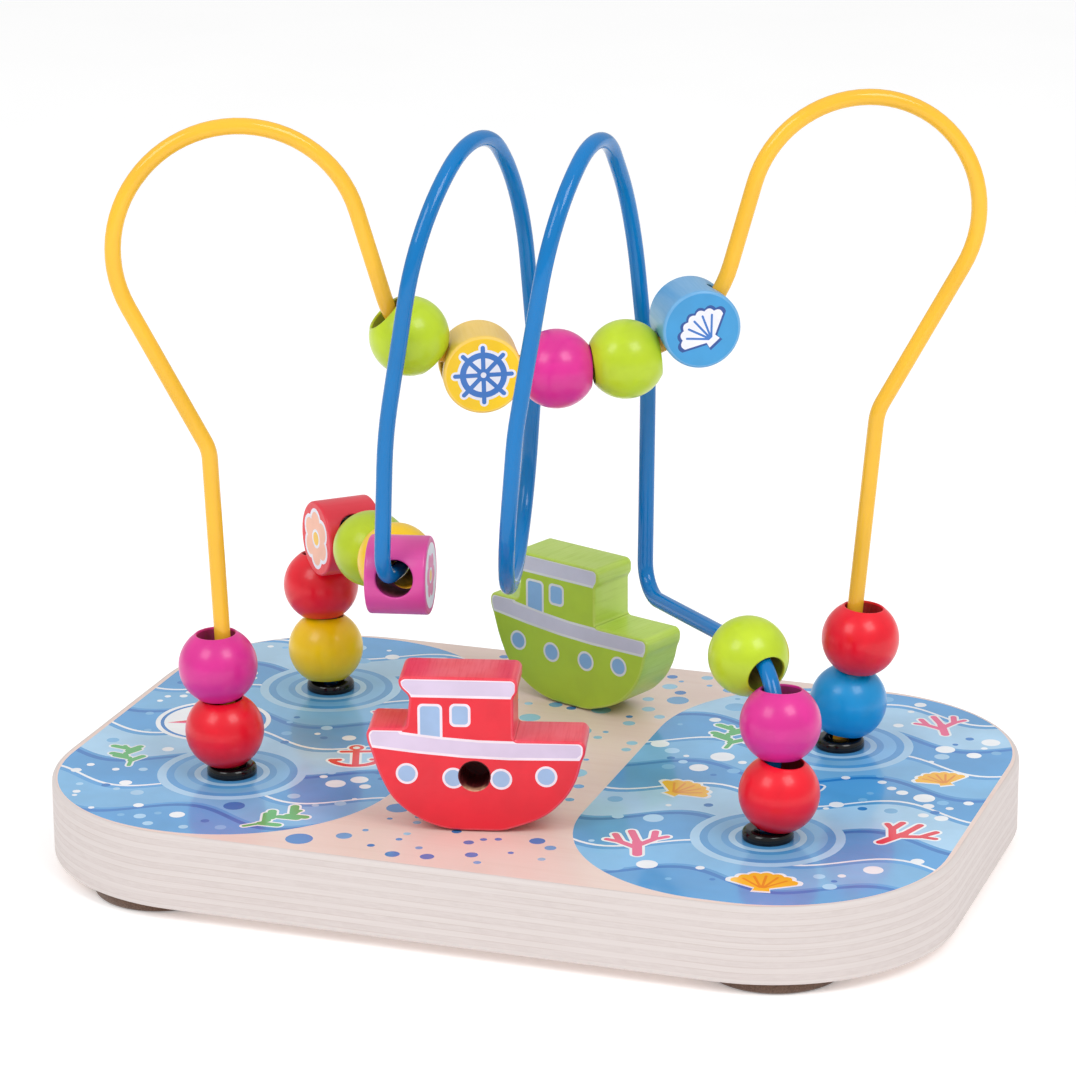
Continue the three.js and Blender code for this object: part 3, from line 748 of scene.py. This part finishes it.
rng = random.Random(7)
EDGE = 1.2
outline = rounded(-BOARD_X + EDGE, -BOARD_Y + EDGE, BOARD_X - EDGE, BOARD_Y - EDGE, BOARD_R - EDGE, 20)
LEFT_BOX, RIGHT_BOX, CORNER = (-127.6, -83.9, -30.0, 83.9), (25.0, -83.9, 127.6, 83.9), 48.0
left_panel = rounded(*LEFT_BOX, CORNER, 24)
right_panel = rounded(*RIGHT_BOX, CORNER, 24)
layers = [(left_panel, INK_AT["sea"], None), (right_panel, INK_AT["sea"], None)]


def wave(x0, x1, base, height, length, phase, width, ink, within, lean=0.0):
    n = 44
    top, low = [], []
    for k in range(n + 1):
        x = x0 + (x1 - x0) * k / n
        y = base + lean * (x - x0) + height * math.sin(2 * math.pi * x / length + phase)
        top.append((x, y + width / 2))
        low.append((x, y - width / 2))
    layers.append((low + top[::-1], INK_AT[ink], within))


for within, x0, x1, phase in ((0, -129, -29, 0.4), (1, 24, 129, 2.1)):
    for base, width, ink in ((-62, 15, "mid"), (-22, 19, "pale"), (16, 15, "mid"), (55, 18, "pale")):
        wave(x0, x1, base, 5.5, 52, phase + base * 0.03, width, ink, within, 0.05)
        wave(x0, x1, base + width / 2 + 2.6, 5.5, 52, phase + base * 0.03, 1.1, "white", within, 0.05)
        wave(x0, x1, base - width / 2 - 2.4, 5.5, 52, phase + base * 0.03, 2.0, "deep", within, 0.05)

posts = [(-POST_X, -POST_Y, 0), (POST_X, -POST_Y, 1), (-POST_X, POST_Y, 0), (POST_X, POST_Y, 1)]
for x, y, within in posts:
    for r, ink in ((21, "pale"), (18.4, "sea"), (16.2, "mid"), (12.6, "sea"), (10.6, "pale"), (8.8, "sea")):
        layers.append((circle(x, y, r, 48), INK_AT[ink], within))

figures = []
taken = [(x, y, 21.5) for x, y, _ in posts]
for maker, args, reach in (
    (rose, (-100, 0, 0.88, 24, "coral", "pink"), 17.5), (weed, (-54, -66, 0.92, -34, "leaf"), 10.5),
    (anchor, (-50, -14, 0.9, 20, "coral"), 10), (weed, (-112, -34, 0.8, 28, "leaf"), 9), (branches, (-52, 18, 0.78, -14, "pink"), 9),
    (shell, (-54, 66, 0.86, 12, "sun", "amber"), 11), (anchor, (-108, 36, 0.8, -18, "deep"), 9),
    (shell, (86, -68, 0.9, 8, "sun", "amber"), 11.5), (branches, (46, -52, 0.9, 18, "pink"), 10.5), (shell, (46, -10, 0.84, -28, "sun", "amber"), 11),
    (branches, (112, -24, 0.9, -30, "coral"), 10.5), (anchor, (74, 4, 0.9, 24, "deep"), 10), (shell, (112, 20, 0.74, 34, "sun", "amber"), 9.5),
    (weed, (46, 34, 0.9, 12, "leaf"), 10.5), (rose, (58, 66, 0.66, -12, "coral", "pink"), 13.5), (branches, (102, 62, 0.8, 22, "pink"), 9.5),
):
    figures.append((maker(*args), 0 if args[0] < 0 else 1))
    taken.append((args[0], args[1], reach))


def scatter(count, box, sizes, clear, gap, tries=4000):
    out = []
    for _ in range(tries):
        if len(out) == count:
            break
        r = rng.choice(sizes) * rng.uniform(0.85, 1.15)
        x, y = rng.uniform(box[0], box[2]), rng.uniform(box[1], box[3])
        if any(math.hypot(x - a, y - b) < r + c + gap for a, b, c in clear + out):
            continue
        out.append((x, y, r))
    return out


def inside_round(x, y, r, x0, y0, x1, y1, corner):
    dx, dy = max(x0 + corner - x, x - x1 + corner, 0), max(y0 + corner - y, y - y1 + corner, 0)
    return x0 + r < x < x1 - r and y0 + r < y < y1 - r and math.hypot(dx, dy) < corner - r


for box, within in ((LEFT_BOX, 0), (RIGHT_BOX, 1)):
    for x, y, r in scatter(120, box, (0.9, 1.2, 1.5, 1.9, 2.5, 3.1), taken, 0.9):
        if inside_round(x, y, r + 1.2, *box, CORNER):
            layers.append((circle(x, y, r, 20), INK_AT[rng.choice(("white", "white", "pale", "deep", "mid"))], within))
for shapes, within in figures:
    for poly, ink in shapes:
        layers.append((poly, INK_AT[ink], within))

boats_at = [(RED_BOAT[0], RED_BOAT[1], 3.2), (GREEN_BOAT[0], GREEN_BOAT[1], 3.2)]
for x, y, r in scatter(165, (-44, -81, 42, 81), (0.9, 1.2, 1.6, 2.1, 2.7, 3.4), boats_at, 1.3):
    if any(inside_round(x, y, -r - 1.2, *box, CORNER) for box in (LEFT_BOX, RIGHT_BOX)):
        continue
    layers.append((circle(x, y, r, 22), INK_AT[rng.choice(("dot_deep", "dot_mid", "dot_pale"))], None))

wire_ends = []
for line in (yellow_3d, BLUE_BENDS):
    for foot, nxt in ((line[0], line[1]), (line[-1], line[-2])):
        d = (Vector(nxt[:3]) - Vector(foot[:3])).normalized()
        top = Vector(foot[:3]) + d * ((BOARD_TOP - foot[2]) / d.z)
        low = Vector(foot[:3]) - d * 0.3
        wire_ends.append((top, low))
SEG = 24
holes = [circle(top.x, top.y, 2.55, SEG) for top, _ in wire_ends]
holes += [circle(b[0], b[1], 2.35, SEG) for b in (RED_BOAT, GREEN_BOAT)]
co, tris, colours = painted(outline, holes, layers)

verts = [(x, y, BOARD_TOP) for x, y in co]
faces, index, flat = [tuple(t) for t in tris], list(colours), [True] * len(tris)


def strip(a, b, mat):
    n = len(a)
    for k in range(n):
        m = (k + 1) % n
        faces.append((a[k], a[m], b[m], b[k]))
        index.append(mat)
        flat.append(False)


def more(points):
    first = len(verts)
    verts.extend(points)
    return list(range(first, len(verts)))


top_rims = rims(tris)
top_outer = max(top_rims, key=lambda q: abs(area([co[k] for k in q])))
bottom_holes = [circle(b[0], b[1], 5.0, SEG) for b in (RED_BOAT, GREEN_BOAT)]
co2, tris2, _ = painted([co[k] for k in top_outer], bottom_holes, [])
shift = len(verts)
verts += [(x, y, BOARD_BOTTOM) for x, y in co2]
faces += [tuple(k + shift for k in t)[::-1] for t in tris2]
index += [0] * len(tris2)
flat += [True] * len(tris2)

low_rims = rims(tris2)
low_outer = max(low_rims, key=lambda q: abs(area([co2[k] for k in q])))


def rim_rings(loop, corners, z, sign):
    dirs = away(loop, corners)
    rings = []
    for k in range(1, 6):
        a = math.radians(18 * k)
        rings.append(more([(corners[i][0] + d.x * EDGE * math.sin(a), corners[i][1] + d.y * EDGE * math.sin(a), z - sign * EDGE * (1 - math.cos(a))) for i, d in zip(loop, dirs)]))
    return rings


def matched(loop, corners, other, other_corners):
    """The second rim, turned so that its corners stand opposite those of the first."""
    x, y = corners[loop[0]]
    near = min(range(len(other)), key=lambda i: math.hypot(other_corners[other[i]][0] - x, other_corners[other[i]][1] - y))
    return other[near:] + other[:near]


low_outer = matched(top_outer, co, low_outer, co2)
ring = top_outer
for nxt in rim_rings(top_outer, co, BOARD_TOP, 1):
    strip(ring, nxt, 1)
    ring = nxt
for z in (19.5, 14.0, 8.5):
    nxt = more([(verts[i][0], verts[i][1], z) for i in ring])
    strip(ring, nxt, 1)
    ring = nxt
low_rings = rim_rings(low_outer, co2, BOARD_BOTTOM, -1)
for nxt in low_rings[::-1] + [[k + shift for k in low_outer]]:
    strip(ring, nxt, 1)
    ring = nxt

for loop in top_rims:
    if loop is top_outer:
        continue
    cx = sum(co[k][0] for k in loop) / len(loop)
    cy = sum(co[k][1] for k in loop) / len(loop)
    end = next(((t, l) for t, l in wire_ends if math.hypot(t.x - cx, t.y - cy) < 1), None)
    if end:
        d = end[1] - end[0]
        floor_ring = more([(co[k][0] + d.x, co[k][1] + d.y, end[1].z) for k in loop])
        strip(loop, floor_ring, 1)
        faces.append(tuple(floor_ring))
        index.append(1)
        flat.append(True)
    else:
        neck = more([(co[k][0], co[k][1], 7.0) for k in loop])
        strip(loop, neck, 1)
        low = min((q for q in low_rims if q is not low_outer), key=lambda q: math.hypot(sum(co2[k][0] for k in q) / len(q) - cx, sum(co2[k][1] for k in q) / len(q) - cy))
        low = matched(loop, co, low, co2)
        seat = more([(co2[k][0], co2[k][1], 7.0) for k in low])
        strip(neck, seat, 1)
        strip(seat, [k + shift for k in low], 1)
stand_in(make("printed_board", verts, faces, board_mats, index, flat, weld=0.0004), "base_board")


# ---------------------------------------------------------------- disc beads
def disc(name, mats, figure, ink_at):
    """Flat-faced bead with round edges, a print on both faces and a bore through its side."""
    R, H, E, N = 11.0, 8.5, 0.8, 96
    face_outline = circle(0, 0, R - E, N)
    co, tris, colours = painted(face_outline, [], [(p, ink_at[i], None) for p, i in figure])
    colours = [c or ink_at["ground"] for c in colours]
    verts, faces, index, flat = [], [], [], []
    for sign in (1, -1):
        first = len(verts)
        verts += [(x, y * sign, H * sign) for x, y in co]
        faces += [tuple(k + first for k in t) for t in tris]
        index += colours
        flat += [True] * len(tris)
        rows = [[(r * math.cos(2 * math.pi * k / N), r * math.sin(2 * math.pi * k / N), z * sign) for k in range(N)]
                for r, z in [(R - E + E * math.sin(math.radians(a)), H - E + E * math.cos(math.radians(a))) for a in range(0, 91, 15)]]
        base = len(verts)
        for row in rows:
            verts += row
        for i in range(len(rows) - 1):
            for k in range(N):
                m = (k + 1) % N
                faces.append((base + i * N + k, base + i * N + m, base + (i + 1) * N + m, base + (i + 1) * N + k))
                index.append(0)
                flat.append(False)
    B, M = 5.2, 48

    def mouth(radius, inwards, side):
        out = []
        for k in range(M):
            a = 2 * math.pi * k / M
            y, z = radius * math.cos(a), radius * math.sin(a)
            out.append((side * (math.sqrt(R * R - y * y) - inwards), y, z))
        return out

    half = H - E
    quarter = math.pi / 2
    for side, start in ((1, -quarter), (-1, quarter)):
        edge = [(R * (start + math.pi * k / (N // 2)), -half) for k in range(N // 2 + 1)]
        wall = edge + [(R * (start + math.pi), -half + 2 * half * k / 8) for k in range(1, 8)]
        wall += [(x, half) for x, _ in edge[::-1]]
        wall += [(R * start, half - 2 * half * k / 8) for k in range(1, 8)]
        hole = []
        for x, y, z in mouth(B + 0.55, 0.0, side):
            t = math.atan2(y, x)
            if side < 0 and t < 0:
                t += 2 * math.pi
            hole.append((R * t, z))
        grid = []
        for i in range(1, N // 2):
            for j in range(1, 8):
                x, z = R * (start + math.pi * i / (N // 2)), -half + 2 * half * j / 8
                t = x / R
                y = R * math.sin(t)
                if math.hypot(y, z) > B + 1.2 or math.cos(t) * side < 0:
                    grid.append((x, z))
        pts = [Vector(p) for p in wall + left_turning(hole) + grid]
        loops = [list(range(len(wall))), list(range(len(wall), len(wall) + len(hole)))]
        flat_co, _, flat_tris, _, _, origin = delaunay_2d_cdt(pts, [], [left_loop(pts, q) for q in loops], 1, 1e-5, True)
        first = len(verts)
        verts += [(R * math.cos(p[0] / R), R * math.sin(p[0] / R), p[1]) for p in flat_co]
        for t, ids in zip(flat_tris, origin):
            if 1 in ids or 0 not in ids:
                continue
            faces.append(tuple(k + first for k in t))
            index.append(0)
            flat.append(False)
    rows = []
    lip = [(B + 0.55, 0.0), (B + 0.28, 0.06), (B + 0.08, 0.25), (B, 0.55)]
    rows += [mouth(r, d, 1) for r, d in lip]
    near, far = mouth(B, 0.55, 1), mouth(B, 0.55, -1)
    for k in range(1, 6):
        rows.append([tuple(Vector(p).lerp(Vector(q), k / 6)) for p, q in zip(near, far)])
    rows += [mouth(r, d, -1) for r, d in lip[::-1]]
    base = len(verts)
    for row in rows:
        verts += row
    for i in range(len(rows) - 1):
        inner = 2 < i < len(rows) - 4
        for k in range(M):
            m = (k + 1) % M
            faces.append((base + i * M + k, base + i * M + m, base + (i + 1) * M + m, base + (i + 1) * M + k))
            index.append(1 if inner else 0)
            flat.append(False)
    return make(name, verts, faces, mats, index, flat, weld=0.002)


def left_loop(pts, loop):
    return loop if area([(pts[k][0], pts[k][1]) for k in loop]) > 0 else loop[::-1]


disc_prints = {
    "disc_level_red": (flower(0, 0, 1.18, 12, "peach", "sun"), ("white", "peach", "sun")),
    "disc_level_magenta": ([(circle(0, 0, 9.2, 40), "white")] + flower(0, 0, 0.95, 0, "pink", "sun"), ("white", "pink", "sun")),
    "disc_dip_yellow": (wheel(0, 0, 0.98, 10, "deep"), ("white", "deep")),
    "disc_dip_blue": (shell(0, -0.4, 0.74, 0, "white", "deep", "navy") + [], ("white", "deep", "navy")),
}
DISC_INKS = {"white": (236, 236, 246), "peach": (250, 188, 160), "sun": (255, 200, 70), "pink": (236, 120, 180), "deep": (58, 118, 196), "navy": (36, 78, 150)}
DISC_PAINT = {  # flat faces, sides; the yellow and blue sides are paler copies of the faces, painted sheen
    "red": ((236, 18, 42), (232, 26, 50)), "magenta": ((219, 50, 148), (216, 58, 152)),
    "yellow": ((255, 205, 2), (255, 209, 86)), "blue": ((58, 152, 210), (94, 164, 216)),
}
for number, (node, colour, at, bore, face) in enumerate(DISC_BEADS):
    figure, inks = disc_prints[node]
    flat_rgb, side_rgb = DISC_PAINT[colour]
    # the side lacquer is paled toward white: painted sheen
    mats = [edge_lacquer("lacquer_" + node, side_rgb, number + 31.0, 2, 0.08, 0.1), bore_wood("bore_" + node, PAINT[colour], number + 41.0, 0)]
    ink_at = {"ground": len(mats)}
    mats.append(face_paint("face_" + node, flat_rgb, number + 46.0))
    for n in inks:
        ink_at[n] = len(mats)
        mats.append(face_paint("print_" + node + "_" + n, DISC_INKS[n], number + 51.0))
    o = disc("printed_" + node, mats, figure, ink_at)
    z = Vector(face).normalized()
    x = Vector(bore)
    x = (x - z * x.dot(z)).normalized()
    y = z.cross(x)
    m = Matrix((x, y, z)).transposed().to_4x4()
    stand_in(o, node, Matrix.Translation(Vector(at) * MM) @ m)


# ---------------------------------------------------------------- boats
def boat(name, node, place, rgb, glass, band, trim, with_hole, seed):
    T, E = 16.0, 0.7
    full = smooth_outline(BOAT_OUTLINE)
    face_outline = inset(full, E)
    white, lilac, pane = 2, 3, 4
    shapes = [
        ([(-34, 23.6), (-28, 23.4), (-15.4, 22), (-3, 21), (9.4, 20.6), (28.8, 20.9), (34, 21.1), (34, 29), (12.6, 28), (11.3, 26.0),
          (1.2, 26.1), (-8.7, 26.8), (-15.3, 27.5), (-19.4, 28.0), (-19.9, 31.5), (-34, 31.5)], white),
        ([(-27.6, 24.1), (-15.4, 22.75), (-3, 21.75), (9.4, 21.35), (27.6, 21.6), (28.7, 22.6), (28.8, 24.6), (28.0, 25.3), (11.5, 25.3),
          (1.2, 25.4), (-8.7, 26.1), (-15.3, 26.8), (-20.0, 27.3), (-20.6, 28.0), (-27.3, 28.0), (-28.1, 26.9)], lilac),
        ([(-24, 38.0), (14, 38.0), (14, 47), (-24, 47)], white),
        ([(-16.7, 38.75), (10.0, 38.75), (10.9, 39.9), (11.0, 42.0), (10.2, 42.8), (-18.4, 42.8), (-19.4, 42.1), (-19.1, 41.0)], lilac),
        (rounded(-15.2, 25.4, -8.5, 36.2, 1.4, 5), white), (rounded(-14.5, 25.4, -9.2, 35.5, 0.9, 5), pane),
        (rounded(-6.6, 29.8, -0.9, 36.4, 1.5, 6), white), (rounded(-5.9, 30.5, -1.6, 35.7, 1.0, 6), pane),
    ]
    for u, z in ((-18.3, 16.1), (-5.7, 15.1), (7.2, 15.1), (19.4, 16.1)):
        shapes += [(circle(u, z, 3.0, 36), white), (circle(u, z, 2.35, 36), pane)]
    order = shapes[4:6] + shapes[:4] + shapes[6:]
    holes = [circle(0.0, 15.8, 4.1 + 0.35, 40)] if with_hole else []
    prints = [(p, c, None) for p, c in order]
    co, tris, colours = painted(face_outline, holes, prints)
    co2, tris2, colours2 = painted(face_outline, [], prints)
    verts = [(x, -T / 2, z) for x, z in co] + [(x, T / 2, z) for x, z in co2]
    faces = [tuple(t) for t in tris] + [tuple(k + len(co) for k in t) for t in tris2]
    index = colours + colours2
    flat = [True] * len(faces)
    loops = rims(tris)
    outer = max(loops, key=lambda q: abs(area([co[k] for k in q])))
    back_rim = matched(outer, co, rims(tris2)[0], co2)
    for loop in loops:
        edge = E if loop is outer else 0.35
        mat = 1 if loop is outer else 5
        dirs = away(loop, co)
        rows = [list(loop)]
        arc = [math.radians(a) for a in range(15, 91, 15)]
        for a in arc:
            first = len(verts)
            verts += [(co[i][0] + d.x * edge * math.sin(a), -T / 2 + edge * (1 - math.cos(a)), co[i][1] + d.y * edge * math.sin(a)) for i, d in zip(loop, dirs)]
            rows.append(list(range(first, len(verts))))
        for y in (-4.0, 0.0, 4.0):
            first = len(verts)
            verts += [(co[i][0] + d.x * edge, y, co[i][1] + d.y * edge) for i, d in zip(loop, dirs)]
            rows.append(list(range(first, len(verts))))
        if loop is outer:
            for a in arc[::-1]:
                first = len(verts)
                verts += [(co[i][0] + d.x * edge * math.sin(a), T / 2 - edge * (1 - math.cos(a)), co[i][1] + d.y * edge * math.sin(a)) for i, d in zip(loop, dirs)]
                rows.append(list(range(first, len(verts))))
            rows.append([i + len(co) for i in back_rim])
        else:
            faces.append(tuple(rows[-1]))
            index.append(mat)
            flat.append(True)
        for p, q in zip(rows, rows[1:]):
            for k in range(len(loop)):
                m = (k + 1) % len(loop)
                faces.append((p[k], p[m], q[m], q[k]))
                index.append(mat)
                flat.append(False)
    mats = [
        # the boat edge is a paler copy of the hull paint: painted light on the tops and sides
        face_paint("boat_paint_" + name, rgb, seed), edge_lacquer("boat_edge_" + name, rgb, seed + 1, 1, 0.22, 0.3),
        face_paint("boat_line_" + name, trim, seed + 2), face_paint("boat_band_" + name, band, seed + 3),
        face_paint("boat_pane_" + name, glass, seed + 4),
    ]
    if with_hole:
        mats.append(boat_bore("boat_bore_" + name, rgb, seed + 5))
    o = make("painted_boat_" + name, verts, faces, mats, index, flat, weld=0.0004)
    m = Matrix.Translation(Vector((place[0], place[1], BOARD_TOP + BOAT_LIFT)) * MM) @ Matrix.Rotation(math.radians(place[2]), 4, "Z")
    stand_in(o, node, m)


boat("red", "boat_red", RED_BOAT, (230, 22, 46), (156, 184, 222), (217, 200, 226), (240, 226, 238), True, 61.0)
# the green boat's trim, band and panes are darker than the red boat's: painted shade
boat("green", "boat_green", GREEN_BOAT, (170, 206, 46), (128, 178, 222), (198, 204, 220), (216, 224, 226), False, 71.0)

steel = zinc("screw_zinc")
for node in ("screw_red", "screw_green"):
    o = NODES[node]
    o.data.materials.clear()
    o.data.materials.append(steel)

# ---------------------------------------------------------------- floor, light and camera
bm = bmesh.new()
bmesh.ops.create_grid(bm, x_segments=1, y_segments=1, size=6.0)
floor_mesh = bpy.data.meshes.new("floor")
bm.to_mesh(floor_mesh)
bm.free()
floor = bpy.data.objects.new("floor", floor_mesh)
bpy.context.scene.collection.objects.link(floor)
floor.location.z = -0.0002
ft = Tree("floor_paper", 1.0)
paper = ft.noise(0.01, detail=3)
ft.finish(ft.mix(paper, lin((247, 247, 247)), lin((251, 251, 251))), 0.9, spec=0.1)
ft.bsdf.inputs["Emission Color"].default_value = (1, 1, 1, 1)
ft.bsdf.inputs["Emission Strength"].default_value = 0.22
floor_mesh.materials.append(ft.mat)

# a studio room that is brighter overhead than at the level of the table
world = bpy.data.worlds.new("studio")
bpy.context.scene.world = world
world.use_nodes = True
sky = world.node_tree
sky_at = sky.nodes.new("ShaderNodeTexCoord")
sky_axes = sky.nodes.new("ShaderNodeSeparateXYZ")
sky_level = sky.nodes.new("ShaderNodeMapRange")
sky.links.new(sky_at.outputs["Generated"], sky_axes.inputs[0])
sky.links.new(sky_axes.outputs[2], sky_level.inputs[0])
for i, v in ((1, 0.0), (2, 1.0), (3, 0.54), (4, 0.8)):
    sky_level.inputs[i].default_value = v
sky.nodes["Background"].inputs[0].default_value = (1, 1, 1, 1)
sky.links.new(sky_level.outputs[0], sky.nodes["Background"].inputs[1])


def softbox(name, at, aim, size, power):
    data = bpy.data.lights.new(name, "AREA")
    data.shape = "RECTANGLE"
    data.size, data.size_y = size
    data.energy = power
    o = bpy.data.objects.new(name, data)
    o.location = at
    o.rotation_mode = "QUATERNION"
    o.rotation_quaternion = (Vector(aim) - Vector(at)).to_track_quat("-Z", "Y")
    bpy.context.scene.collection.objects.link(o)


softbox("key_left", (-0.56, -1.0, 1.12), (0, 0, 0.08), (0.66, 0.66), 5.6)
softbox("key_right", (0.88, -0.55, 1.235), (0, 0, 0.08), (0.66, 0.66), 7.1)

f_px, az, el, roll = 4112.488, math.radians(18.65521), math.radians(17.44273), math.radians(-0.1515)
target = Vector((7.25663, 11.10426, 66.45229 + BOARD_TOP)) * MM
back = Vector((math.sin(az) * math.cos(el), -math.cos(az) * math.cos(el), math.sin(el)))
right = Vector((0, 0, 1)).cross(back).normalized()
up = back.cross(right)
right, up = right * math.cos(roll) + up * math.sin(roll), up * math.cos(roll) - right * math.sin(roll)
cam_data = bpy.data.cameras.new("camera")
cam = bpy.data.objects.new("camera", cam_data)
bpy.context.scene.collection.objects.link(cam)
cam.rotation_mode = "QUATERNION"
cam.location = target + back * 1.15294621
cam.rotation_quaternion = Matrix((right, up, back)).transposed().to_quaternion()
cam_data.sensor_width = 36.0
cam_data.lens = f_px * 36.0 / 1076
cam_data.shift_x = (538 - 574.7152) / 1076
cam_data.shift_y = (526.33074 - 538) / 1076
cam_data.clip_start, cam_data.clip_end = 0.05, 30.0
bpy.context.scene.camera = cam
bpy.context.scene.view_settings.view_transform = "Standard"
